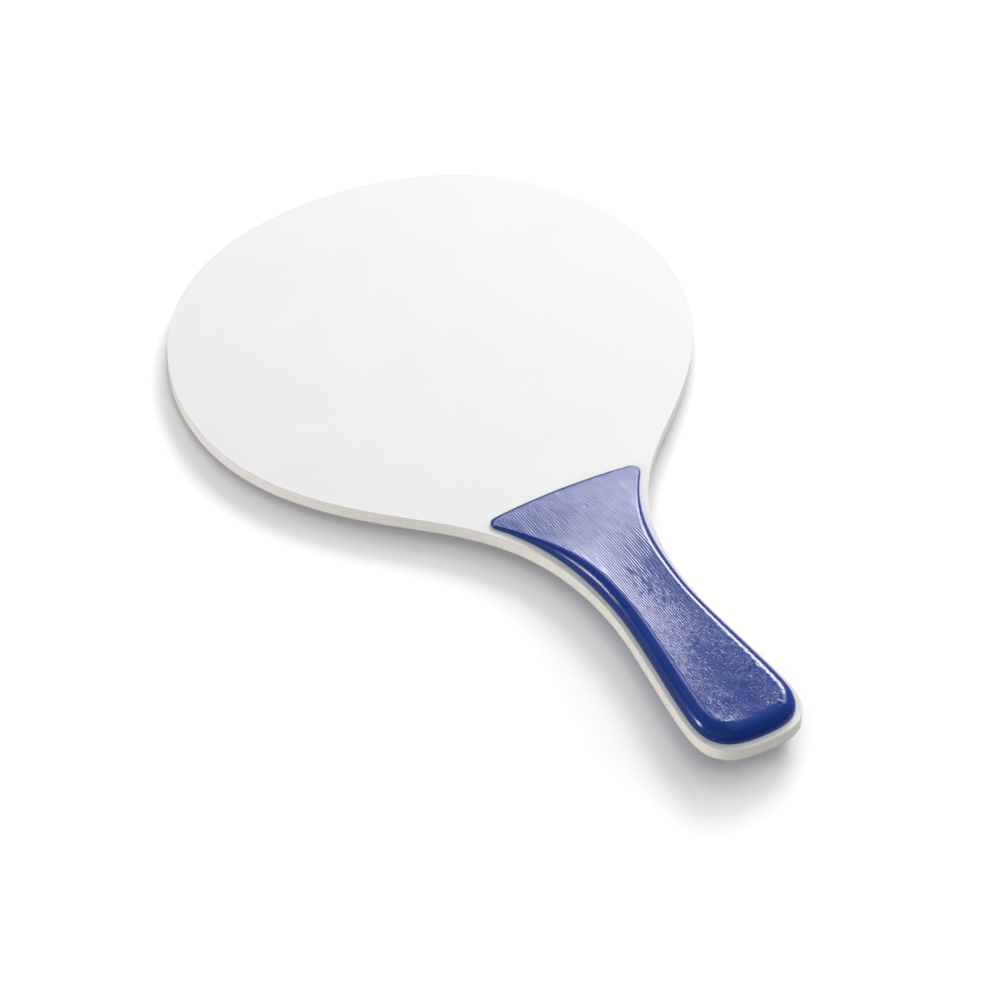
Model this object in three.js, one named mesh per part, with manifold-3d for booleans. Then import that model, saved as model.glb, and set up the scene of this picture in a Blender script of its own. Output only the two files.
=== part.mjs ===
// Frescobol racket: a flat board, faced white on both sides, with a moulded grip half on each face
// of its handle.
// Millimetres. X runs across the board, Y along it towards the blade, Z out of its front face.
// The origin is the middle of the board's length, width and thickness.
import * as THREE from "three";
import { mergeVertices } from "three/addons/utils/BufferGeometryUtils.js";
import Module from "manifold-3d";

const wasm = await Module();
wasm.setup();

// The board, from its top edge to the end of its handle
const board = {
  width: 190,
  length: 310,
  thickness: 5,
  facing: 0.2, // the white sheet on each face, counted in the thickness
  crownLength: 86.5, // from the top edge to the widest line
  neckWidth: 78, // where the edge runs at its flattest on the way into the handle
  neckAboveWaist: 63,
  neckAngle: 46, // degrees from the X axis
  waistWidth: 30, // narrowest place of the handle
  waistAboveEnd: 72,
  tailWidth: 40, // widest place of the handle, near its end
  tailAboveEnd: 17,
};

// How far each curve of the board's edge reaches towards its tangent, as shares of the run it belongs to
const edgeShares = {
  crownAcross: 0.71,
  crownUp: 0.455,
  shoulderDown: 0.545,
  neckUp: 0.275,
  neckDown: 0.255,
  waistUp: 0.55,
  waistDown: 0.24,
  tailUp: 0.235,
  tailDown: 0.88,
  endAcross: 0.535,
};

// A grip half: a low moulded pad with a wide, thin flare on the foot of the blade
const grip = {
  height: 5.1, // where the rounded side meets the top
  dish: 0.6, // how far the top sinks between its two sides at the waist
  tailDish: 0.3, // and near the handle's end
  flareHeight: 1,
  flareCrown: 0.55, // how far the flare's top bulges between its two sides
  crownLength: 11, // over which it bulges that far, from the flare's edge
  flareAboveEnd: 134.5, // the flare's edge, on the centre line
  flareRadius: 230,
  flareCorner: 3,
  riseLength: 50, // over which the pad thickens from the flare to the handle
  handleMargin: 1.6, // board left bare beside the handle
  flareMargin: 3.2,
  endMargin: 2.6,
  flareRun: 0.5, // how far the rounded side reaches in at the flare's edge
  roundRun: 4.15, // and at the waist
  roundLength: 50, // over which it grows to that
  tailRun: 5.45, // how far it reaches in near the handle's end
  tailLength: 60, // over which it grows to that, once the pad has its full height
  wall: 2.6, // rim left round the hollow underside
  roof: 1.6, // thickness over the hollow in the dish's deepest place
  rib: 1.4,
  hollowAboveEnd: 96, // where the hollow stops, short of the thin flare
};

// Pegs moulded on the front half pass through the board into sockets in the back half
const peg = {
  radius: 2,
  aboveEnd: [16, 52, 88],
  clearance: 0.3, // all round a peg, in the board and in its socket
  depth: 3, // how deep the socket goes into the back half
  tipGap: 0.4,
  bossRadius: 4,
};

// Adhesive pad under each grip half
const adhesive = { thickness: 0.15, margin: 0.8 };

// How finely curves are cut
const steps = { edgeCurve: 14, corner: 5, round: 5, across: 6, circle: 24 };

const overrun = 1; // how far a cutting solid passes the face it opens

// Places that follow from the sizes
const topY = board.length / 2;
const endY = -board.length / 2;
const faceZ = board.thickness / 2;
const coreZ = faceZ - board.facing;
const gripZ = faceZ + adhesive.thickness;
const hollowTop = grip.height - grip.dish - grip.roof; // above a grip's foot

const colours = {
  core: new THREE.MeshStandardMaterial({ color: 0xddd6c8, roughness: 0.9, metalness: 0 }),
  facing: new THREE.MeshStandardMaterial({ color: 0xf2f2f1, roughness: 0.5, metalness: 0 }),
  grip: new THREE.MeshStandardMaterial({ color: 0x1f3f9c, roughness: 0.4, metalness: 0 }),
  adhesive: new THREE.MeshStandardMaterial({ color: 0xe9e6da, roughness: 0.6, metalness: 0 }),
};

// Flat outlines

// The right half of the board's edge, from the middle of the top to the middle of the handle's end.
function boardHalf() {
  const s = edgeShares;
  const widest = new THREE.Vector2(board.width / 2, topY - board.crownLength);
  const waist = new THREE.Vector2(board.waistWidth / 2, endY + board.waistAboveEnd);
  const neck = new THREE.Vector2(board.neckWidth / 2, waist.y + board.neckAboveWaist);
  const tail = new THREE.Vector2(board.tailWidth / 2, endY + board.tailAboveEnd);
  const slope = new THREE.Vector2(1, 0).rotateAround(new THREE.Vector2(), rad(board.neckAngle));
  const shoulder = widest.y - neck.y;
  const throat = neck.y - waist.y;
  const handle = waist.y - tail.y;
  const at = (x, y) => new THREE.Vector2(x, y);
  const curves = [
    [
      at(0, topY),
      at(widest.x * s.crownAcross, topY),
      at(widest.x, widest.y + board.crownLength * s.crownUp),
      widest,
    ],
    [
      widest,
      at(widest.x, widest.y - shoulder * s.shoulderDown),
      neck.clone().addScaledVector(slope, shoulder * s.neckUp),
      neck,
    ],
    [
      neck,
      neck.clone().addScaledVector(slope, -throat * s.neckDown),
      at(waist.x, waist.y + throat * s.waistUp),
      waist,
    ],
    [waist, at(waist.x, waist.y - handle * s.waistDown), at(tail.x, tail.y + handle * s.tailUp), tail],
    [
      tail,
      at(tail.x, tail.y - board.tailAboveEnd * s.tailDown),
      at(tail.x * s.endAcross, endY),
      at(0, endY),
    ],
  ];
  return curves.flatMap((points, i) => {
    const line = new THREE.CubicBezierCurve(...points).getPoints(steps.edgeCurve);
    return i === 0 ? line : line.slice(1);
  });
}

// Unit normals of a half outline, pointing in towards the centre line's side.
function inwardNormals(half) {
  return half.map((point, i) => {
    const before = half[Math.max(i - 1, 0)];
    const after = half[Math.min(i + 1, half.length - 1)];
    const along = after.clone().sub(before).normalize();
    if (i === 0) along.set(1, 0);
    if (i === half.length - 1) along.set(-1, 0);
    return new THREE.Vector2(along.y, -along.x);
  });
}

// A half outline drawn in by a distance that may change from point to point.
function drawnIn(half, distance) {
  const normals = inwardNormals(half);
  return half.map((point, i) => point.clone().addScaledVector(normals[i], distance(point, normals[i])));
}

// Board left bare beside a grip, which grows from the handle towards the flare and towards the end.
function gripMargin(point) {
  const aboveEnd = point.y - endY;
  const toFlare = (aboveEnd - board.waistAboveEnd) / (grip.flareAboveEnd - board.waistAboveEnd);
  const toEnd = (board.tailAboveEnd - aboveEnd) / board.tailAboveEnd;
  const towardsFlare = (grip.flareMargin - grip.handleMargin) * smooth(toFlare);
  const towardsEnd = (grip.endMargin - grip.handleMargin) * smooth(toEnd);
  return grip.handleMargin + towardsFlare + towardsEnd;
}

// The right half of a grip's foot: the flare's arc, its rounded corner, then the side down to the
// handle's end.
function gripHalf() {
  const side = drawnIn(boardHalf(), gripMargin);
  const arcCentre = new THREE.Vector2(0, endY + grip.flareAboveEnd - grip.flareRadius);
  // The corner's centre is where the side and the arc, both drawn in by its radius, cross
  const inner = drawnIn(side, () => grip.flareCorner);
  const beyond = inner.map((point) => point.distanceTo(arcCentre) - (grip.flareRadius - grip.flareCorner));
  const next = beyond.findIndex((distance) => distance <= 0);
  const share = beyond[next - 1] / (beyond[next - 1] - beyond[next]);
  const centre = inner[next - 1].clone().lerp(inner[next], share);
  const normals = inwardNormals(side);
  const outward = normals[next - 1].clone().lerp(normals[next], share).negate();
  const arcEnd = centre.clone().sub(arcCentre).angle();
  const cornerEnd = outward.angle() - 2 * Math.PI;
  const flare = arc(arcCentre, grip.flareRadius, Math.PI / 2, arcEnd, steps.edgeCurve);
  const corner = arc(centre, grip.flareCorner, arcEnd, cornerEnd, steps.corner);
  return [...flare.slice(0, -1), ...corner, ...side.slice(next)];
}

function arc(centre, radius, fromAngle, toAngle, count) {
  return Array.from({ length: count + 1 }, (_, i) => {
    const angle = lerp(fromAngle, toAngle, i / count);
    return new THREE.Vector2(centre.x + radius * Math.cos(angle), centre.y + radius * Math.sin(angle));
  });
}

// The closed outline made of a half outline and its mirror image.
function closed(half) {
  const left = half.slice(1, -1).map((point) => new THREE.Vector2(-point.x, point.y));
  return [...half, ...left.reverse()];
}

function rad(degrees) {
  return THREE.MathUtils.degToRad(degrees);
}

function smooth(share) {
  return THREE.MathUtils.smoothstep(share, 0, 1);
}

function lerp(from, to, share) {
  return THREE.MathUtils.lerp(from, to, share);
}

// Solids

// A closed body from vertices and triangles, as a solid that can be joined and cut.
function solid(vertices, triangles) {
  const geometry = new THREE.BufferGeometry();
  geometry.setAttribute("position", new THREE.Float32BufferAttribute(vertices.flat(), 3));
  geometry.setIndex(triangles.flat());
  return solidOf(geometry);
}

function solidOf(geometry) {
  const bare = geometry.clone();
  bare.deleteAttribute("normal");
  bare.deleteAttribute("uv");
  const merged = mergeVertices(bare);
  return new wasm.Manifold(
    new wasm.Mesh({
      numProp: 3,
      vertProperties: new Float32Array(merged.attributes.position.array),
      triVerts: new Uint32Array(merged.index.array),
    }),
  );
}

function meshOf(name, body, material) {
  const { vertProperties, triVerts } = body.getMesh();
  const geometry = new THREE.BufferGeometry();
  geometry.setAttribute("position", new THREE.BufferAttribute(vertProperties, 3));
  geometry.setIndex(new THREE.BufferAttribute(triVerts, 1));
  geometry.computeVertexNormals();
  const mesh = new THREE.Mesh(geometry, material);
  mesh.name = name;
  return mesh;
}

// A flat plate between two heights, its faces cut in rows straight across from edge to edge.
function plate(half, lowZ, highZ) {
  const ring = closed(half);
  const count = ring.length;
  const vertices = [lowZ, highZ].flatMap((z) => ring.map((point) => [point.x, point.y, z]));
  const triangles = [];
  const last = half.length - 1;
  const mirror = (i) => (i === 0 || i === last ? i : count - i);
  for (let i = 0; i < last; i += 1) {
    const row = [i, i + 1, mirror(i + 1), mirror(i)];
    const pieces = [
      [row[0], row[1], row[2]],
      [row[0], row[2], row[3]],
    ].filter((piece) => new Set(piece).size === 3);
    for (const [a, b, c] of pieces) {
      triangles.push([a, b, c]);
      triangles.push([count + a, count + c, count + b]);
    }
  }
  for (let i = 0; i < count; i += 1) {
    const next = (i + 1) % count;
    triangles.push([i, count + i, next]);
    triangles.push([next, count + i, count + next]);
  }
  return solid(vertices, triangles);
}

// An upright cylinder between two heights.
function post(x, y, radius, lowZ, highZ) {
  const geometry = new THREE.CylinderGeometry(radius, radius, highZ - lowZ, steps.circle);
  geometry.rotateX(Math.PI / 2).translate(x, y, (lowZ + highZ) / 2);
  return solidOf(geometry);
}

function bar(width, length, x, y, lowZ, highZ) {
  const geometry = new THREE.BoxGeometry(width, length, highZ - lowZ);
  return solidOf(geometry.translate(x, y, (lowZ + highZ) / 2));
}

function pegPlaces() {
  return peg.aboveEnd.map((height) => endY + height);
}

// A plate with a clear hole at each peg.
function drilledPlate(half, lowZ, highZ) {
  return pegPlaces().reduce(
    (body, y) => body.subtract(post(0, y, peg.radius + peg.clearance, lowZ - overrun, highZ + overrun)),
    plate(half, lowZ, highZ),
  );
}

// How far the pad has grown at y, from 0 at the flare's edge to 1 a length further down the handle.
function grown(y, length) {
  return smooth((endY + grip.flareAboveEnd - y) / length);
}

// How far y lies on the way from the waist, where the pad has its full height, to the handle's end.
function towardsTail(y) {
  return smooth((endY + grip.flareAboveEnd - grip.riseLength - y) / grip.tailLength);
}

// How far the rounded side reaches in at y.
function roundRun(y) {
  const full = lerp(grip.roundRun, grip.tailRun, towardsTail(y));
  return lerp(grip.flareRun, full, grown(y, grip.roundLength));
}

// Height of the top at a place, where the top's half width is known: crowned across the flare and
// dished along the handle.
function topHeight(x, y, halfWidth) {
  const risen = grown(y, grip.riseLength);
  const crown = grip.flareCrown * (1 - risen) * grown(y, grip.crownLength);
  const dish = lerp(grip.dish, grip.tailDish, towardsTail(y)) * risen;
  const across = Math.min(Math.abs(x) / halfWidth, 1);
  return lerp(grip.flareHeight, grip.height, risen) + (crown - dish) * (1 - across ** 2);
}

// The top's half width as a function of y, from the points of its rim down the handle's side.
function widthOf(side) {
  return (y) => {
    const next = side.findIndex((point) => point.y <= y);
    if (next === 0) return side[0].x;
    if (next < 0) return side[side.length - 1].x;
    const [above, below] = [side[next - 1], side[next]];
    return lerp(above.x, below.x, (above.y - y) / (above.y - below.y));
  };
}

// The outer body of a grip half, standing on z = 0 with its top upwards.
function gripPad() {
  const half = gripHalf();
  const normals = inwardNormals(half);
  const last = half.length - 1;
  const drawn = drawnIn(half, (point) => roundRun(point.y));
  const halfWidth = widthOf(drawn.filter((point, i) => normals[i].x < -0.5));
  const topAt = (x, y) => topHeight(x, y, halfWidth(y));
  // Rings up the rounded side, a quarter of an ellipse from the upright foot to the level top
  const rings = [];
  for (let k = 0; k <= steps.round; k += 1) {
    const angle = (Math.PI / 2) * (k / steps.round);
    rings.push(
      half.map((point, i) => {
        const run = roundRun(point.y) * (1 - Math.cos(angle));
        const inset = point.clone().addScaledVector(normals[i], run);
        return [Math.max(inset.x, 0), inset.y, topAt(drawn[i].x, drawn[i].y) * Math.sin(angle)];
      }),
    );
  }
  const rim = rings[steps.round];
  const vertices = [];
  const add = (x, y, z) => vertices.push([x, y, z]) - 1;
  // Index of each ring's vertices, right side then left, which share those on the centre line
  const right = rings.map((ring) => ring.map(([x, y, z]) => add(x, y, z)));
  const left = rings.map((ring, k) =>
    ring.map(([x, y, z], i) => (i === 0 || i === last ? right[k][i] : add(-x, y, z))),
  );
  const triangles = [];
  const quad = (a, b, c, d) => {
    for (const piece of [[a, b, c], [a, c, d]]) {
      if (new Set(piece).size === 3) triangles.push(piece);
    }
  };
  for (let k = 0; k < steps.round; k += 1) {
    for (let i = 0; i < last; i += 1) {
      quad(right[k][i], right[k + 1][i], right[k + 1][i + 1], right[k][i + 1]);
      quad(left[k][i], left[k][i + 1], left[k + 1][i + 1], left[k + 1][i]);
    }
  }
  // Rows across the top, and rows across the flat foot
  const topRow = (i) => {
    if (i === 0 || i === last) return new Array(steps.across + 1).fill(right[steps.round][i]);
    const [x, y] = rim[i];
    const row = [left[steps.round][i]];
    for (let j = 1; j < steps.across; j += 1) {
      const share = (2 * j) / steps.across - 1;
      row.push(add(x * share, y, topAt(x * share, y)));
    }
    return [...row, right[steps.round][i]];
  };
  const rows = half.map((point, i) => topRow(i));
  for (let i = 0; i < last; i += 1) {
    for (let j = 0; j < steps.across; j += 1) {
      quad(rows[i][j], rows[i + 1][j], rows[i + 1][j + 1], rows[i][j + 1]);
    }
    quad(left[0][i], right[0][i], right[0][i + 1], left[0][i + 1]);
  }
  return solid(vertices, triangles);
}

// The hollow under a grip half, with its ribs and the bosses at the pegs left standing.
function gripHollow() {
  const hollowY = endY + grip.hollowAboveEnd;
  const inside = drawnIn(gripHalf(), () => grip.wall).filter((point) => point.y < hollowY);
  const half = [new THREE.Vector2(0, hollowY), new THREE.Vector2(inside[0].x, hollowY), ...inside];
  const lowZ = -2 * overrun;
  const highZ = hollowTop + overrun;
  let hollow = plate(half, -overrun, hollowTop);
  hollow = hollow.subtract(bar(grip.rib, board.length, 0, 0, lowZ, highZ));
  const places = pegPlaces();
  const between = places.slice(1).map((y, i) => (y + places[i]) / 2);
  for (const y of [...places, ...between]) {
    hollow = hollow.subtract(bar(board.width, grip.rib, 0, y, lowZ, highZ));
  }
  for (const y of places) {
    hollow = hollow.subtract(post(0, y, peg.bossRadius, lowZ, highZ));
  }
  return hollow;
}

const shell = gripPad().subtract(gripHollow());

// The front half stands on the front face and carries the pegs.
function frontGrip() {
  const tipZ = -gripZ - peg.depth + peg.tipGap;
  const rootZ = gripZ + hollowTop;
  return pegPlaces().reduce(
    (body, y) => body.add(post(0, y, peg.radius, tipZ, rootZ)),
    shell.translate([0, 0, gripZ]),
  );
}

// The back half is the same shell turned over, with a socket in each boss.
function backGrip() {
  const socket = (y) => post(0, y, peg.radius + peg.clearance, -gripZ - peg.depth, -gripZ + overrun);
  return pegPlaces().reduce(
    (body, y) => body.subtract(socket(y)),
    shell.mirror([0, 0, 1]).translate([0, 0, -gripZ]),
  );
}

function adhesivePad(lowZ) {
  const half = drawnIn(gripHalf(), () => adhesive.margin);
  return drilledPlate(half, lowZ, lowZ + adhesive.thickness);
}

const racket = new THREE.Group();
racket.name = "racket";
racket.add(
  meshOf("core_board", drilledPlate(boardHalf(), -coreZ, coreZ), colours.core),
  meshOf("front_facing", drilledPlate(boardHalf(), coreZ, faceZ), colours.facing),
  meshOf("back_facing", drilledPlate(boardHalf(), -faceZ, -coreZ), colours.facing),
  meshOf("front_adhesive", adhesivePad(faceZ), colours.adhesive),
  meshOf("back_adhesive", adhesivePad(-gripZ), colours.adhesive),
  meshOf("front_grip", frontGrip(), colours.grip),
  meshOf("back_grip", backGrip(), colours.grip),
);

export default racket;
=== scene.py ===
# Frescobol racket: the fine surfaces, finishes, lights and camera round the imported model.
# Metres. X runs across the board, Y along it towards the blade, Z out of its front face.
import math

import bmesh
import bpy
import numpy as np
from mathutils import Matrix, Vector, noise
from mathutils.geometry import delaunay_2d_cdt, tessellate_polygon


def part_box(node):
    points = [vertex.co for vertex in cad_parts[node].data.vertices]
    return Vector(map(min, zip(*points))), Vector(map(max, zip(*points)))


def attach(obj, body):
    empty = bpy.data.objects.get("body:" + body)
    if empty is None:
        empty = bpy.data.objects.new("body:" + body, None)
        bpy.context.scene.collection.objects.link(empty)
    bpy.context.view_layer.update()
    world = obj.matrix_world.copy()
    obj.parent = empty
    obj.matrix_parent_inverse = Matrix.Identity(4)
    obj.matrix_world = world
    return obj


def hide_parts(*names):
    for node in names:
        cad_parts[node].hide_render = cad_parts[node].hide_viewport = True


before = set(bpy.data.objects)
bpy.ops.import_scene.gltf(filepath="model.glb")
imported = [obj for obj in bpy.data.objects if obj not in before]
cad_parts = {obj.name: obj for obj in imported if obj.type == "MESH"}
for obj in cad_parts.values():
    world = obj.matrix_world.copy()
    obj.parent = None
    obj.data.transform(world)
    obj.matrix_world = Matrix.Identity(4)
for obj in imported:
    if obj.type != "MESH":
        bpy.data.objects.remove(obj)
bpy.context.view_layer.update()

MM = 0.001
MERGE = 1e-7  # points nearer than this are one point
BATCH = 2000  # points measured at a time, to spare memory

# How finely the visual outlines are cut
BOARD_STEP = 0.8 * MM
GRIP_STEP = 0.4 * MM

# Angles in degrees from which an edge is drawn sharp
CORE_SHARP = 40
FACING_SHARP = 25
GRIP_SHARP = 38

# The board's broken corners and the slightly rough face of its sawn edge
CORE_ARRIS = 0.11 * MM
CORE_ROWS = 7
SAWN_DEPTH = 0.035 * MM
SAWN_WAVES = (1.4, 1.4, 0.9)  # waves of roughness in a millimetre along x, y and z
FACING_ARRIS = 0.07 * MM

# A grip's shape, the same curves as on the CAD solid
SIDE_RINGS = 18
FLARE_HEIGHT = 1.0 * MM
RISE_LENGTH = 50 * MM
FLARE_RUN = 0.5 * MM
SIDE_RUN = 4.15 * MM
RUN_LENGTH = 50 * MM
TAIL_RUN = 5.45 * MM
TAIL_LENGTH = 60 * MM
DISH = 0.6 * MM
TAIL_DISH = 0.3 * MM
FLARE_CROWN = 0.55 * MM
CROWN_LENGTH = 11 * MM
EDGE_DROP = 0.26 * MM  # how far the top slopes down at the flare's edge
EDGE_WIDTH = 0.9 * MM
EDGE_POWER = 1.3
FACING_AWAY = -0.5  # an inward normal's x is below this on the right side, and its y on the flare's edge
NEAR_TOP = 0.01 * MM

# Noises are given as their size along x and y in millimetres and the layer that they are cut from.
# The rim's unevenness on the right side, towards the handle's end
RIM_WAVE = 0.07 * MM
RIM_WAVE_FROM_MIDDLE = 10 * MM
RIM_COARSE = (1.1, 1.3, 5.3)
RIM_FINE = (0.6, 0.55, 15.3)
RIM_FINE_SHARE = 0.7
WAVE_GAIN, WAVE_START = 3, 1.6  # how it grows up the rounded side

# The texture moulded into a grip's top
TEXTURE_CELL = (0.145 * MM, 0.34 * MM)
RIM_CLEARANCE = 0.6 * TEXTURE_CELL[0]
TEXTURE_FADE = 0.3 * MM
FLARE_FADE = 1.1 * MM
FLARE_PITCH = 0.9 * MM
HANDLE_PITCH = 0.76 * MM
LINE_DEPTH = 0.086 * MM
LIT_SHARE = 0.62  # share of a line's width that slopes down to the right
# How strong the lines are at a distance in millimetres from the flare's edge
LINE_STRENGTH = (
    (0, 0.28), (10, 0.44), (20, 0.62), (32, 0.8), (44, 0.92), (78, 0.92),
    (90, 0.62), (104, 0.44), (125, 0.42),
)
# Changes along the grip: where one starts and how long it is, in millimetres from the flare's edge
NARROWING = (30, 50)
RIPPLING = (42, 50)
QUIETING = (80, 16)
# Values on the flare, and what the rippling adds to them along the handle
SLOW_BEND = (0.22, 0.45)
QUICK_BEND = (0.07, 0.33)
QUICK_BEND_LENGTH = (3.4, -1.2)
BREAK_LENGTH = (7, -5)
FINE_GAIN = (1, 0.7)
SLOW_BEND_NOISE = (6, 18, 3.1)
QUICK_BEND_WIDTH, QUICK_BEND_LAYER = 1.3, 9.7
BREAK_WIDTH, BREAK_LAYER = 0.8, 21.3
BREAK_MIDDLE, BREAK_GAIN, BREAK_LEAST, BREAK_MOST = 0.66, 1.5, 0.1, 1.15
# The strip along the handle's middle where the lines are fainter
QUIET_MIDDLE, QUIET_WIDTH, QUIET_SHARE = 0.5, 5.5, 0.7
FINE_NOISE = (0.5, 0.8, 40.9)
FINE_DEPTH = 0.02 * MM
UNEVEN_NOISE = (3.4, 4.6, 60.1)
UNEVEN_DEPTH = 0.03 * MM
GATE_PLACE = (2.8 * MM, -12.9 * MM)  # middle of the gate mark, from the middle of the flare's edge
GATE_RADIUS = 1.1 * MM
GATE_DEPTH = 0.1 * MM

# Colours and roughnesses; a pair is the ends of a range
FIBREBOARD = (0.88, 0.86, 0.81)
FIBRES = ((0.80, 0.765, 0.69), (0.94, 0.915, 0.855))
LAYERS = ((0.83, 0.795, 0.73), (0.95, 0.93, 0.88))
LAYER_SHARE = 0.35
SPECK = (0.5, 0.44, 0.36)
LAMINATE = (0.637, 0.637, 0.637)
LAMINATE_CLOUDS = ((0.63, 0.63, 0.63), (0.644, 0.644, 0.644))
LAMINATE_ROUGHNESS = (0.46, 0.56)
BLUE = (0.004, 0.03, 0.22)
BLUE_CLOUDS = ((0.0035, 0.027, 0.188), (0.0048, 0.032, 0.216))
HANDLE_ROUGHNESS = (0.17, 0.24)
FLARE_ROUGHNESS = (0.25, 0.33)
FLARE_START, HANDLE_START = -40 * MM, -70 * MM
FILM = (0.78, 0.76, 0.68)
FILM_CLOUDS = ((0.72, 0.70, 0.62), (0.80, 0.78, 0.71))
FILM_ROUGHNESS = (0.5, 0.65)

# What the racket lies on
FLOOR_REACH = 6
FLOOR_ALBEDO = 0.92
TABLE_ALBEDO = 0.75
TABLE_DROP = 0.1 * MM
TABLE_FRONT = -0.205
GROUND_ALBEDO = 0.03
GROUND_DROP = 20 * TABLE_DROP

# The lights. Each has its azimuth and elevation in degrees, seen from the point they aim at, its distance,
# its spread across and up in degrees, its radiance and, if it isn't white, its colour.
AIM = Vector((0, -0.07, 0))
WORLD_LEVEL = 0.12
WHITE = (1, 1, 1)
WARM = (1, 0.96, 0.94)
MIRRORED_LIGHTS = (
    ("softbox_back_right", (45, 29), 2, (31, 17), 16),
    ("softbox_edge", (18, 28), 2, (17, 20), 0.3),
    ("softbox_top", (41, 43), 2, (28, 10), 0.45),
    ("softbox_high", (17, 51), 2, (12, 9), 6),
    ("softbox_left", (-20, 42), 2, (40, 24), 0.2),
    ("softbox_over", (104, 76), 2, (60, 16), 0.25),
    ("lamp_right", (71, 42), 2, (20, 13), 4.3, WARM),
    ("lamp_end", (78, 51), 2, (12, 12), 2.5, WARM),
    ("lamp_left", (-91, 11), 3.2, (12, 12), 0.7, WARM),
    ("lamp_corner", (-64, 12), 3.2, (11, 11), 22, WARM),
    ("horizon_left", (-50, 3), 3.2, (40, 12), 0.4),
)
FILLING_LIGHTS = (
    ("fill_left", (-125, 25), 3.2, (50, 36), 2.5),
    ("fill_right", (100, 16), 3.2, (50, 24), 4.2),
    ("ceiling", (0, 72), 4.5, (90, 90), 0.37),
)

# The photograph's viewpoint
CAMERA_AZIMUTH = math.radians(-31.2403)
CAMERA_ELEVATION = math.radians(44.077)
CAMERA_ROLL = math.radians(-1.7724)
CAMERA_DISTANCE = 1.61876
CAMERA_TARGET = Vector((-0.0189936, -0.0127388, 0))
CAMERA_LENS = 169.276
CAMERA_REACH = 20
SENSOR = 36


# Curves and outlines

def smooth(share):
    """A share held between 0 and 1 and eased at both ends."""
    share = np.clip(share, 0, 1)
    return share * share * (3 - 2 * share)


def smooth_loop(points, spacing):
    """Evenly spaced points on a closed spline through the given points, and unit normals pointing in."""
    p = np.array(points, float)
    count = len(p)
    step = np.linalg.norm(np.roll(p, -1, 0) - p, axis=1)
    before = np.roll(step, 1)
    system = np.zeros((count, count))
    for i in range(count):
        system[i, i - 1] += before[i]
        system[i, i] += 2 * (before[i] + step[i])
        system[i, (i + 1) % count] += step[i]
    slope = (np.roll(p, -1, 0) - p) / step[:, None]
    bend = np.linalg.solve(system, 6 * (slope - np.roll(slope, 1, 0)))
    knots = np.concatenate([[0], np.cumsum(step)])
    samples = 2 * round(knots[-1] / spacing / 2)
    at = np.arange(samples) * knots[-1] / samples
    i = np.clip(np.searchsorted(knots, at, side="right") - 1, 0, count - 1)
    t = (at - knots[i])[:, None]
    h = step[i][:, None]
    here = bend[i]
    there = np.roll(bend, -1, 0)[i]
    first = slope[i] - h * (2 * here + there) / 6
    place = p[i] + first * t + here / 2 * t ** 2 + (there - here) / (6 * h) * t ** 3
    along = first + here * t + (there - here) / (2 * h) * t ** 2
    along /= np.linalg.norm(along, axis=1)[:, None]
    return place, np.column_stack([-along[:, 1], along[:, 0]])


def node_mesh(name):
    """A CAD node's mesh with its split corners merged."""
    mesh = bmesh.new()
    mesh.from_mesh(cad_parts[name].data)
    bmesh.ops.remove_doubles(mesh, verts=mesh.verts, dist=MERGE)
    return mesh


def flat_faces(mesh, height):
    """The faces of a mesh that lie flat at a height."""
    return [f for f in mesh.faces if all(abs(v.co.z - height) < 2 * MERGE for v in f.verts)]


def area(points):
    """Area inside a loop, below 0 where the loop runs clockwise."""
    x, y = points.T
    return 0.5 * float(np.sum(x * np.roll(y, -1) - y * np.roll(x, -1)))


def len_round(points):
    """Length round a loop."""
    return float(np.linalg.norm(np.roll(points, -1, 0) - points, axis=1).sum())


def loops_round(faces):
    """The closed loops of points round a set of faces, anticlockwise, the longest first."""
    inside = set(faces)
    onward = {}
    for face in faces:
        for loop in face.loops:
            if sum(f in inside for f in loop.edge.link_faces) == 1:
                onward[loop.vert] = loop.link_loop_next.vert
    loops = []
    while onward:
        start, here = onward.popitem()
        loop = [start]
        while here is not start:
            loop.append(here)
            here = onward.pop(here)
        points = np.array([(v.co.x, v.co.y) for v in loop])
        if area(points) < 0:
            points = points[::-1]
        loops.append(points)
    return sorted(loops, key=lambda points: -len_round(points))


def from_the_top(loop):
    """A loop turned so that it starts at its highest point."""
    return np.roll(loop, -int(np.argmax(loop[:, 1])), 0)


def held_in(points, name):
    """Points kept inside a node's own box."""
    low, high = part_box(name)
    return np.clip(points, [low.x, low.y], [high.x, high.y])


def distance_to(line, points):
    """Distance of each point from a closed line of closely spaced points."""
    a = line
    b = np.roll(line, -1, 0)
    along = b - a
    square = (along ** 2).sum(1)
    found = np.empty(len(points))
    for start in range(0, len(points), BATCH):
        part = points[start:start + BATCH, None, :] - a
        t = np.clip((part * along).sum(2) / square, 0, 1)
        gap = part - t[:, :, None] * along
        found[start:start + BATCH] = np.sqrt((gap ** 2).sum(2).min(1))
    return found


def within(line, points):
    """Which points lie inside a closed line."""
    a = line
    b = np.roll(line, -1, 0)
    found = np.zeros(len(points), bool)
    for (ax, ay), (bx, by) in zip(a, b):
        if ay == by:
            continue
        crosses = (ay > points[:, 1]) != (by > points[:, 1])
        x = ax + (points[:, 1] - ay) * (bx - ax) / (by - ay)
        found ^= crosses & (points[:, 0] < x)
    return found


def connected(mesh):
    """The groups of faces that hang together, in an order that is the same each run."""
    left = dict.fromkeys(mesh.faces)
    groups = []
    while left:
        todo = [left.popitem()[0]]
        group = []
        while todo:
            face = todo.pop()
            group.append(face)
            for edge in face.edges:
                for other in edge.link_faces:
                    if other in left:
                        del left[other]
                        todo.append(other)
        groups.append(group)
    return groups


def grain(x, y, kind):
    """Noise at a place in millimetres."""
    width, length, layer = kind
    return noise.noise(Vector((x / width, y / length, layer)))


# Mesh building

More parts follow.
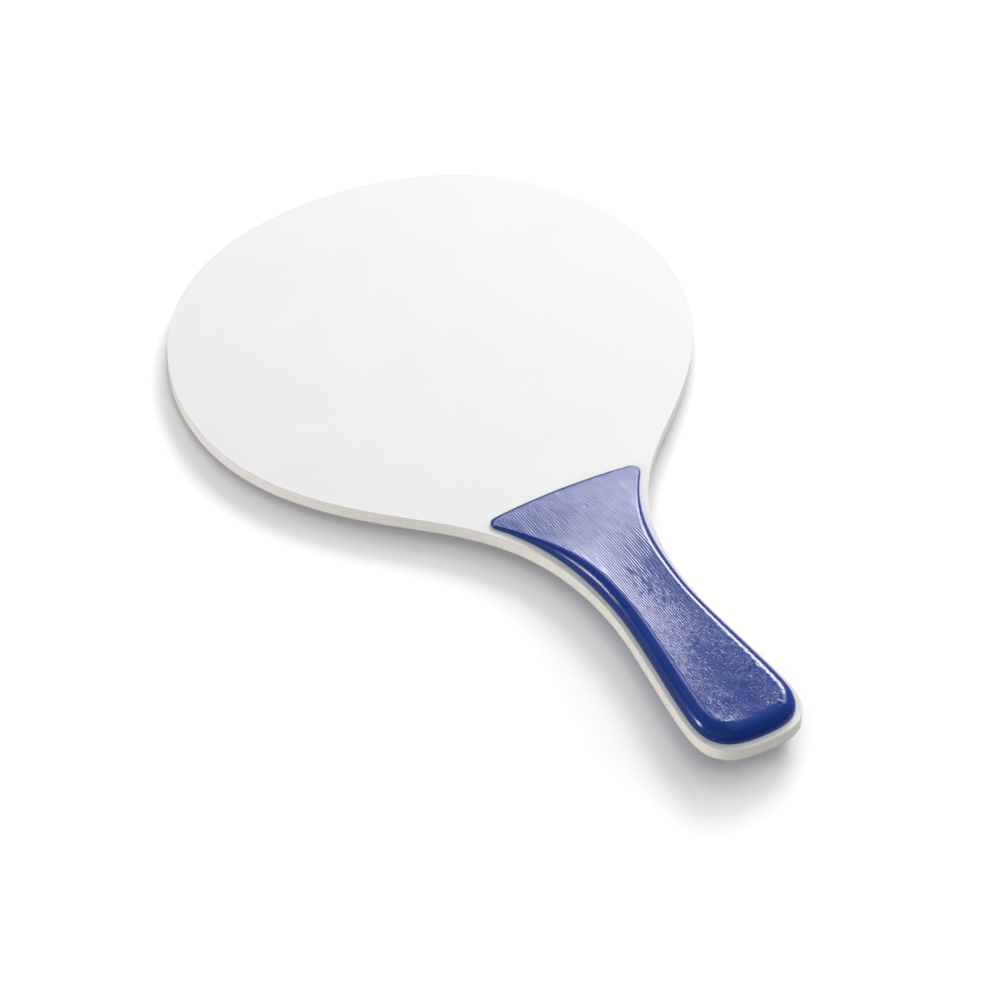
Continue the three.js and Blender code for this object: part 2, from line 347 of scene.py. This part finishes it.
class Skin:
    """Vertices and faces that grow into one mesh."""

    def __init__(self):
        self.points = []
        self.faces = []

    def ring(self, points):
        """Adds points and gives back their numbers."""
        start = len(self.points)
        self.points.extend(map(tuple, points))
        return list(range(start, len(self.points)))

    def wall(self, lower, upper):
        """Faces between two rings of as many points, seen from outside when the rings run anticlockwise."""
        count = len(lower)
        for i in range(count):
            j = (i + 1) % count
            self.faces.append((lower[i], lower[j], upper[j], upper[i]))

    def cap(self, rings, up):
        """A flat face inside the first ring with the other rings as holes."""
        lines = [[Vector(self.points[i]) for i in ring] for ring in rings]
        flat = [i for ring in rings for i in ring]
        for triangle in tessellate_polygon(lines):
            a, b, c = (flat[i] for i in triangle)
            pa, pb, pc = (np.array(self.points[i][:2]) for i in (a, b, c))
            turn = np.cross(pb - pa, pc - pa)
            self.faces.append((a, b, c) if (turn > 0) == up else (a, c, b))

    def mesh(self, name, sharp):
        data = bpy.data.meshes.new(name)
        data.from_pydata(self.points, [], self.faces)
        work = bmesh.new()
        work.from_mesh(data)
        bmesh.ops.remove_doubles(work, verts=work.verts, dist=MERGE)
        bmesh.ops.recalc_face_normals(work, faces=work.faces)
        work.to_mesh(data)
        work.free()
        data.shade_smooth()
        data.set_sharp_from_angle(angle=math.radians(sharp))
        return data


def piece(name, data, material, slot, *nodes):
    """A visible piece of the racket, which stands for the given CAD nodes."""
    made = bpy.data.objects.new(name, data)
    bpy.context.scene.collection.objects.link(made)
    data.materials.append(material)
    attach(made, "root")
    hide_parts(*nodes)


def with_height(points, z):
    """Points of the plane lifted to one height, or each to its own."""
    return np.column_stack([points, np.broadcast_to(z, len(points))])


# The board

def board_outline():
    """The board's edge with its inward normals, and the holes for the grips' pegs."""
    mesh = node_mesh("front_facing")
    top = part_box("front_facing")[1].z
    loops = loops_round(flat_faces(mesh, top))
    mesh.free()
    edge, inward = smooth_loop(from_the_top(loops[0]), BOARD_STEP)
    return held_in(edge, "front_facing"), inward, loops[1:]


def plate(rows, outline, holes):
    """A plate with holes, its edge through rows of height and inset; an inset may change along the edge."""
    edge, inward = outline
    skin = Skin()
    rings = []
    for z, inset in rows:
        rings.append(skin.ring(with_height(edge + inward * np.reshape(inset, (-1, 1)), z)))
    for lower, upper in zip(rings, rings[1:]):
        skin.wall(lower, upper)
    bores = [[skin.ring(with_height(hole, z)) for z in (rows[0][0], rows[-1][0])] for hole in holes]
    for low, high in bores:
        skin.wall(high, low)
    skin.cap([rings[0]] + [low for low, high in bores], up=False)
    skin.cap([rings[-1]] + [high for low, high in bores], up=True)
    return skin


def sawn(x, y, z):
    """How far the sawn edge is drawn in at a place."""
    place = Vector([value / MM * waves for value, waves in zip((x, y, z), SAWN_WAVES)])
    return SAWN_DEPTH * (0.5 + 0.5 * noise.noise(place))


def add_board(materials):
    edge, inward, holes = board_outline()
    outline = (edge, inward)
    low, high = (corner.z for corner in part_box("core_board"))
    rows = [(low, CORE_ARRIS)]
    for z in np.linspace(low + CORE_ARRIS, high - CORE_ARRIS, CORE_ROWS):
        rows.append((z, [sawn(x, y, z) for x, y in edge]))
    rows.append((high, CORE_ARRIS))
    name = "fibreboard_core"
    core = plate(rows, outline, holes)
    piece(name, core.mesh(name, CORE_SHARP), materials["board_core"], "board_core", "core_board")
    for side, sign in (("front", 1), ("back", -1)):
        node = side + "_facing"
        inner, outer = sorted((corner.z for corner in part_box(node)), key=abs)
        rows = [(inner, 0.0), (outer - sign * FACING_ARRIS, 0.0), (outer, FACING_ARRIS)]
        sheet = plate(rows[::sign], outline, holes)
        name = "white_facing_" + side
        piece(name, sheet.mesh(name, FACING_SHARP), materials["board_facing"], "board_facing", node)


# The grips

class GripShape:
    """The outer surface of a grip half: the line of its foot, its rim and the height of its top."""

    def __init__(self, foot, inward, height):
        self.foot = foot
        self.inward = inward
        self.full_height = height
        self.flare_y = float(foot[:, 1].max())
        self.rim = self.drawn_in(1)
        side = self.rim[inward[:, 0] < FACING_AWAY]
        side = side[np.argsort(side[:, 1])]
        self.side_y, self.side_x = side[:, 1], side[:, 0]
        edge = self.rim[inward[:, 1] < FACING_AWAY]
        edge = edge[np.argsort(edge[:, 0])]
        self.edge_x, self.edge_y = edge[:, 0], edge[:, 1]

    def grown(self, y, length):
        """How far the grip has grown at y, from 0 at the flare's edge to 1 a length further down."""
        return smooth((self.flare_y - y) / length)

    def towards_tail(self, y):
        """A share that goes from 0 at the end of the rise to 1 near the handle's end."""
        return smooth((self.flare_y - RISE_LENGTH - y) / TAIL_LENGTH)

    def drawn_in(self, share):
        """The foot's line drawn in by a share of the rounded side's run."""
        y = self.foot[:, 1]
        full = SIDE_RUN + (TAIL_RUN - SIDE_RUN) * self.towards_tail(y)
        run = FLARE_RUN + (full - FLARE_RUN) * self.grown(y, RUN_LENGTH)
        return self.foot + self.inward * (run * share)[:, None]

    def top(self, x, y):
        """Height of the top, before its texture: crowned across the flare and dished along the handle."""
        grown = self.grown(y, RISE_LENGTH)
        side = FLARE_HEIGHT + (self.full_height - FLARE_HEIGHT) * grown
        crown = FLARE_CROWN * (1 - grown) * self.grown(y, CROWN_LENGTH)
        dish = (DISH + (TAIL_DISH - DISH) * self.towards_tail(y)) * grown
        across = np.minimum(np.abs(x) / np.interp(y, self.side_y, self.side_x), 1)
        from_edge = np.clip((np.interp(x, self.edge_x, self.edge_y) - y) / EDGE_WIDTH, 0, 1)
        return side + (crown - dish) * (1 - across ** 2) - EDGE_DROP * (1 - from_edge) ** EDGE_POWER

    def rings(self):
        """Places and heights up the rounded side, a quarter of an ellipse from the foot to the rim."""
        rim_height = self.top(*self.rim.T)
        wave = np.array([
            grain(x / MM, y / MM, RIM_COARSE) + RIM_FINE_SHARE * grain(x / MM, y / MM, RIM_FINE)
            for x, y in self.rim
        ])
        x, y = self.rim.T
        wave *= RIM_WAVE * self.towards_tail(y) * smooth(x / RIM_WAVE_FROM_MIDDLE)
        for k in range(SIDE_RINGS + 1):
            angle = math.pi / 2 * k / SIDE_RINGS
            lift = wave * smooth(k / SIDE_RINGS * WAVE_GAIN - WAVE_START)
            yield self.drawn_in(1 - math.cos(angle)), rim_height * math.sin(angle) + lift


def relief(x, y, from_flare):
    """Height of the moulded texture above or below the middle of a grip's top."""
    x, y, from_flare = x / MM, y / MM, from_flare / MM

    def changed(where):
        start, length = where
        return float(smooth((from_flare - start) / length))

    def rippled(value):
        on_flare, added = value
        return on_flare + added * ripple

    ripple = changed(RIPPLING)
    pitch = (FLARE_PITCH + (HANDLE_PITCH - FLARE_PITCH) * changed(NARROWING)) / MM
    quick_bend_noise = (QUICK_BEND_WIDTH, rippled(QUICK_BEND_LENGTH), QUICK_BEND_LAYER)
    bend = rippled(SLOW_BEND) * grain(x, y, SLOW_BEND_NOISE)
    bend += rippled(QUICK_BEND) * grain(x, y, quick_bend_noise)
    turn = (x / pitch + bend) % 1
    if turn < LIT_SHARE:
        wave = math.cos(math.pi * turn / LIT_SHARE)
    else:
        wave = -math.cos(math.pi * (turn - LIT_SHARE) / (1 - LIT_SHARE))
    breaks = grain(x, y, (BREAK_WIDTH, rippled(BREAK_LENGTH), BREAK_LAYER))
    quiet = math.exp(-((x - QUIET_MIDDLE) / QUIET_WIDTH) ** 2) * changed(QUIETING)
    strength = float(np.interp(from_flare, *zip(*LINE_STRENGTH))) * (1 - QUIET_SHARE * quiet)
    strength *= min(max(BREAK_MIDDLE + BREAK_GAIN * breaks, BREAK_LEAST), BREAK_MOST)
    fine = rippled(FINE_GAIN) * grain(x, y, FINE_NOISE)
    uneven = grain(x, y, UNEVEN_NOISE)
    return 0.5 * LINE_DEPTH * strength * wave + FINE_DEPTH * fine + UNEVEN_DEPTH * uneven


def gate_mark(shape, x, y):
    """Depth of the small round dimple that the mould's gate leaves in the flare."""
    away = np.hypot(x - GATE_PLACE[0], y - shape.flare_y - GATE_PLACE[1])
    return GATE_DEPTH * smooth(1 - away / GATE_RADIUS)


def top_lattice(rim):
    """Points for the top in staggered rows that stop short of the rim, and their distances from it."""
    xs = np.arange(rim[:, 0].min(), rim[:, 0].max(), TEXTURE_CELL[0])
    ys = np.arange(rim[:, 1].min(), rim[:, 1].max(), TEXTURE_CELL[1])
    lattice = np.array([
        (x + (row % 2) * TEXTURE_CELL[0] / 2, y)
        for row, y in enumerate(ys) for x in xs
    ])
    lattice = lattice[within(rim, lattice)]
    gap = distance_to(rim, lattice)
    keep = gap > RIM_CLEARANCE
    return lattice[keep], gap[keep]


def add_top(skin, shape, rim_ring, foot_z, highest, sign):
    """The textured top, joined to the last ring of the rounded side."""
    lattice, gap = top_lattice(shape.rim)
    x, y = lattice.T
    fade = FLARE_FADE + (TEXTURE_FADE - FLARE_FADE) * shape.grown(y, RISE_LENGTH)
    texture = np.array([relief(px, py, shape.flare_y - py) for px, py in lattice]) * smooth(gap / fade)
    z = np.minimum(shape.top(x, y) + texture - gate_mark(shape, x, y), highest)
    numbers = rim_ring + skin.ring(with_height(lattice, sign * (foot_z + z)))
    flat = [Vector(skin.points[i][:2]) for i in numbers]
    count = len(rim_ring)
    border = [(i, (i + 1) % count) for i in range(count)]
    result = delaunay_2d_cdt(flat, border, [], 1, MERGE)
    source = [numbers[origin[0]] for origin in result[3]]
    skin.faces.extend(tuple(source[i] for i in face) for face in result[2])


def add_underside(skin, mesh, top_z):
    """The hollow, ribs and pegs or sockets: every group of the CAD faces that doesn't reach the top."""
    for group in connected(mesh):
        if max(abs(v.co.z) for f in group for v in f.verts) > top_z - NEAR_TOP:
            continue
        numbers = {}
        for face in group:
            for v in face.verts:
                if v not in numbers:
                    numbers[v] = skin.ring([tuple(v.co)])[0]
            skin.faces.append(tuple(numbers[v] for v in face.verts))


def add_grip(side, sign, material):
    node = side + "_grip"
    mesh = node_mesh(node)
    low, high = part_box(node)
    top_z = max(abs(low.z), abs(high.z))
    foot_z = max(abs(corner.z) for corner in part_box(side + "_adhesive"))
    highest = top_z - foot_z
    foot_faces = flat_faces(mesh, sign * foot_z)
    loops = loops_round(foot_faces)
    foot, inward = smooth_loop(from_the_top(loops[0]), GRIP_STEP)
    shape = GripShape(held_in(foot, node), inward, top_z - foot_z - 0.5 * LINE_DEPTH)

    skin = Skin()
    rings = []
    for place, z in shape.rings():
        rings.append(skin.ring(with_height(place, sign * (foot_z + np.minimum(z, highest)))))
    for lower, upper in zip(rings, rings[1:]):
        skin.wall(lower, upper)
    add_top(skin, shape, rings[-1], foot_z, highest, sign)
    openings = [skin.ring(with_height(loop, sign * foot_z)) for loop in loops[1:]]
    skin.cap([rings[0]] + openings, up=sign < 0)
    bmesh.ops.delete(mesh, geom=foot_faces, context="FACES_ONLY")
    add_underside(skin, mesh, top_z)
    mesh.free()
    name = "grip_half_" + side
    piece(name, skin.mesh(name, GRIP_SHARP), material, "grip", node)


# Materials

class Finish:
    """A principled material and short ways to add noise, colour and bump to it."""

    def __init__(self, name, colour, roughness, **sockets):
        self.material = bpy.data.materials.new(name)
        self.material.use_nodes = True
        self.nodes = self.material.node_tree.nodes
        self.links = self.material.node_tree.links
        self.shader = self.nodes["Principled BSDF"]
        self.shader.inputs["Base Color"].default_value = (*colour, 1)
        self.shader.inputs["Roughness"].default_value = roughness
        for socket, value in sockets.items():
            self.shader.inputs[socket.replace("_", " ")].default_value = value
        self.place = self.nodes.new("ShaderNodeTexCoord").outputs["Object"]

    def link(self, source, target):
        self.links.new(source, target)

    def noise(self, size, detail=3, rough=0.5, stretch=(1, 1, 1)):
        """Noise of a given size in metres, drawn out along each axis by stretch."""
        mapping = self.nodes.new("ShaderNodeMapping")
        mapping.inputs["Scale"].default_value = [1 / (size * s) for s in stretch]
        self.link(self.place, mapping.inputs["Vector"])
        texture = self.nodes.new("ShaderNodeTexNoise")
        texture.inputs["Scale"].default_value = 1
        texture.inputs["Detail"].default_value = detail
        texture.inputs["Roughness"].default_value = rough
        self.link(mapping.outputs["Vector"], texture.inputs["Vector"])
        return texture.outputs["Fac"]

    def ramp(self, source, ends, start=0.3, end=0.7):
        """A value turned into a colour or a level, the first of the ends at start and the second at end."""
        node = self.nodes.new("ShaderNodeValToRGB")
        for mark, place, value in zip(node.color_ramp.elements, (start, end), ends):
            mark.position = place
            mark.color = (*value, 1) if isinstance(value, tuple) else (value, value, value, 1)
        self.link(source, node.inputs["Fac"])
        return node.outputs["Color"]

    def mix(self, share, first, second):
        """The first value where the share is 0, the second where it is 1, and a blend between."""
        node = self.nodes.new("ShaderNodeMix")
        node.data_type = "RGBA"
        for value, socket in ((share, "Factor_Float"), (first, "A_Color"), (second, "B_Color")):
            target = next(i for i in node.inputs if i.identifier == socket)
            if isinstance(value, tuple):
                target.default_value = (*value, 1)
            elif isinstance(value, float):
                target.default_value = value
            else:
                self.link(value, target)
        return next(o for o in node.outputs if o.identifier == "Result_Color")

    def along_y(self, start, end):
        """A level that goes from 0 at one y to 1 at another."""
        split = self.nodes.new("ShaderNodeSeparateXYZ")
        self.link(self.place, split.inputs["Vector"])
        level = self.nodes.new("ShaderNodeMapRange")
        level.inputs["From Min"].default_value = start
        level.inputs["From Max"].default_value = end
        self.link(split.outputs["Y"], level.inputs["Value"])
        return level.outputs["Result"]

    def colour(self, source):
        self.link(source, self.shader.inputs["Base Color"])

    def roughness(self, source):
        self.link(source, self.shader.inputs["Roughness"])

    def bump(self, source, distance, strength):
        node = self.nodes.new("ShaderNodeBump")
        node.inputs["Strength"].default_value = strength
        node.inputs["Distance"].default_value = distance
        self.link(source, node.inputs["Height"])
        self.link(node.outputs["Normal"], self.shader.inputs["Normal"])


def core_material():
    finish = Finish("fibreboard", FIBREBOARD, roughness=0.9, Specular_IOR_Level=0.25)
    fibres = finish.noise(size=0.35 * MM, detail=4, rough=0.6, stretch=(1, 1, 5))
    layers = finish.noise(size=0.5 * MM, rough=0.6, stretch=(14, 14, 1))
    specks = finish.noise(size=0.3 * MM, detail=2)
    base = finish.ramp(fibres, FIBRES, end=0.62)
    banded = finish.ramp(layers, LAYERS, start=0.35, end=0.6)
    layered = finish.mix(LAYER_SHARE, base, banded)
    finish.colour(finish.mix(finish.ramp(specks, (0.0, 1.0), start=0.66, end=0.74), layered, SPECK))
    finish.bump(fibres, distance=0.06 * MM, strength=0.8)
    return finish.material


def facing_material():
    finish = Finish("white_laminate", LAMINATE, roughness=0.5, Specular_IOR_Level=0.3)
    finish.colour(finish.ramp(finish.noise(size=28 * MM), LAMINATE_CLOUDS))
    peel = finish.noise(size=0.9 * MM)
    finish.roughness(finish.ramp(peel, LAMINATE_ROUGHNESS))
    finish.bump(peel, distance=0.012 * MM, strength=0.6)
    return finish.material


def grip_material():
    finish = Finish("moulded_plastic", BLUE, roughness=0.24, Specular_IOR_Level=0.5)
    finish.colour(finish.ramp(finish.noise(size=16 * MM), BLUE_CLOUDS))
    smudges = finish.noise(size=4 * MM, detail=4, rough=0.6)
    on_handle = finish.ramp(smudges, HANDLE_ROUGHNESS)
    on_flare = finish.ramp(smudges, FLARE_ROUGHNESS)
    finish.roughness(finish.mix(finish.along_y(HANDLE_START, FLARE_START), on_handle, on_flare))
    pores = finish.noise(size=0.32 * MM, rough=0.6, stretch=(1, 2.2, 1))
    finish.bump(pores, distance=0.013 * MM, strength=0.5)
    return finish.material


def adhesive_material():
    finish = Finish("adhesive_film", FILM, roughness=0.55)
    clouds = finish.noise(size=3 * MM)
    finish.colour(finish.ramp(clouds, FILM_CLOUDS))
    finish.roughness(finish.ramp(clouds, FILM_ROUGHNESS))
    return finish.material


# Floor, lights and camera

def floor_plane():
    """Slope and height of the floor, which the racket touches at the top of its blade and its back grip."""
    low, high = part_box("back_facing")
    slope = 0
    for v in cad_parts["back_grip"].data.vertices:
        slope = min(slope, (v.co.z - low.z) / (high.y - v.co.y))
    return slope, low.z + slope * high.y


def add_plane(name, albedo, drop, front=-FLOOR_REACH):
    """A wide plane on which the racket lies, or a little below that, from a given y backwards."""
    slope, height = floor_plane()
    data = bpy.data.meshes.new(name)
    far = FLOOR_REACH
    outline = ((-far, front), (far, front), (far, far), (-far, far))
    corners = [(x, y, height - drop - slope * y) for x, y in outline]
    data.from_pydata(corners, [], [(0, 1, 2, 3)])
    plane = bpy.data.objects.new(name, data)
    bpy.context.scene.collection.objects.link(plane)
    finish = Finish(name, (albedo, albedo, albedo), roughness=1.0, Specular_IOR_Level=0.0)
    data.materials.append(finish.material)
    return plane


def add_floor():
    """A white floor for the camera, over a pale table and a dark ground that light and mirror the racket."""
    floor = add_plane("pale_floor", FLOOR_ALBEDO, 0)
    floor.visible_diffuse = False
    floor.visible_glossy = False
    table = add_plane("pale_table", TABLE_ALBEDO, TABLE_DROP, TABLE_FRONT)
    ground = add_plane("dark_ground", GROUND_ALBEDO, GROUND_DROP)
    table.visible_camera = False
    ground.visible_camera = False


def towards(azimuth, elevation):
    """Unit direction from the racket, its azimuth in degrees from +Y towards +X."""
    azimuth, elevation = math.radians(azimuth), math.radians(elevation)
    return Vector((
        math.sin(azimuth) * math.cos(elevation),
        math.cos(azimuth) * math.cos(elevation),
        math.sin(elevation),
    ))


def add_light(name, place, distance, spread, radiance, colour=WHITE, mirrored=True):
    """A soft box that shines on the aimed point; one that isn't mirrored only lights."""
    data = bpy.data.lights.new(name, "AREA")
    data.shape = "RECTANGLE"
    data.size, data.size_y = (2 * distance * math.tan(math.radians(angle) / 2) for angle in spread)
    data.color = colour
    data.energy = radiance * math.pi * data.size * data.size_y
    light = bpy.data.objects.new(name, data)
    bpy.context.scene.collection.objects.link(light)
    away = towards(*place)
    light.location = AIM + away * distance
    light.rotation_euler = away.to_track_quat("Z", "Y").to_euler()
    light.visible_glossy = mirrored


def add_lights():
    world = bpy.data.worlds.new("studio")
    bpy.context.scene.world = world
    world.use_nodes = True
    background = world.node_tree.nodes["Background"]
    background.inputs["Color"].default_value = (WORLD_LEVEL, WORLD_LEVEL, WORLD_LEVEL, 1)
    background.inputs["Strength"].default_value = 1
    for row in MIRRORED_LIGHTS:
        add_light(*row)
    for row in FILLING_LIGHTS:
        add_light(*row, mirrored=False)


def add_camera():
    azimuth, elevation = CAMERA_AZIMUTH, CAMERA_ELEVATION
    back = Vector((
        math.sin(azimuth) * math.cos(elevation),
        -math.cos(azimuth) * math.cos(elevation),
        math.sin(elevation),
    ))
    level = Vector((math.cos(azimuth), math.sin(azimuth), 0))
    down = (-back).cross(level)
    right = level * math.cos(CAMERA_ROLL) + down * math.sin(CAMERA_ROLL)
    up = level * math.sin(CAMERA_ROLL) - down * math.cos(CAMERA_ROLL)
    data = bpy.data.cameras.new("camera")
    data.sensor_width = SENSOR
    data.lens = CAMERA_LENS
    data.clip_end = CAMERA_REACH
    camera = bpy.data.objects.new("camera", data)
    bpy.context.scene.collection.objects.link(camera)
    place = Matrix.Translation(CAMERA_TARGET + back * CAMERA_DISTANCE)
    camera.matrix_world = place @ Matrix((right, up, back)).transposed().to_4x4()
    bpy.context.scene.camera = camera


materials = {
    "board_core": core_material(),
    "board_facing": facing_material(),
    "grip": grip_material(),
    "adhesive": adhesive_material(),
}
add_camera()
add_lights()
add_floor()
add_board(materials)
add_grip("front", 1, materials["grip"])
add_grip("back", -1, materials["grip"])
for node in ("front_adhesive", "back_adhesive"):
    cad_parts[node].data.materials.clear()
    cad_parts[node].data.materials.append(materials["adhesive"])
bpy.context.scene.view_settings.view_transform = "Standard"
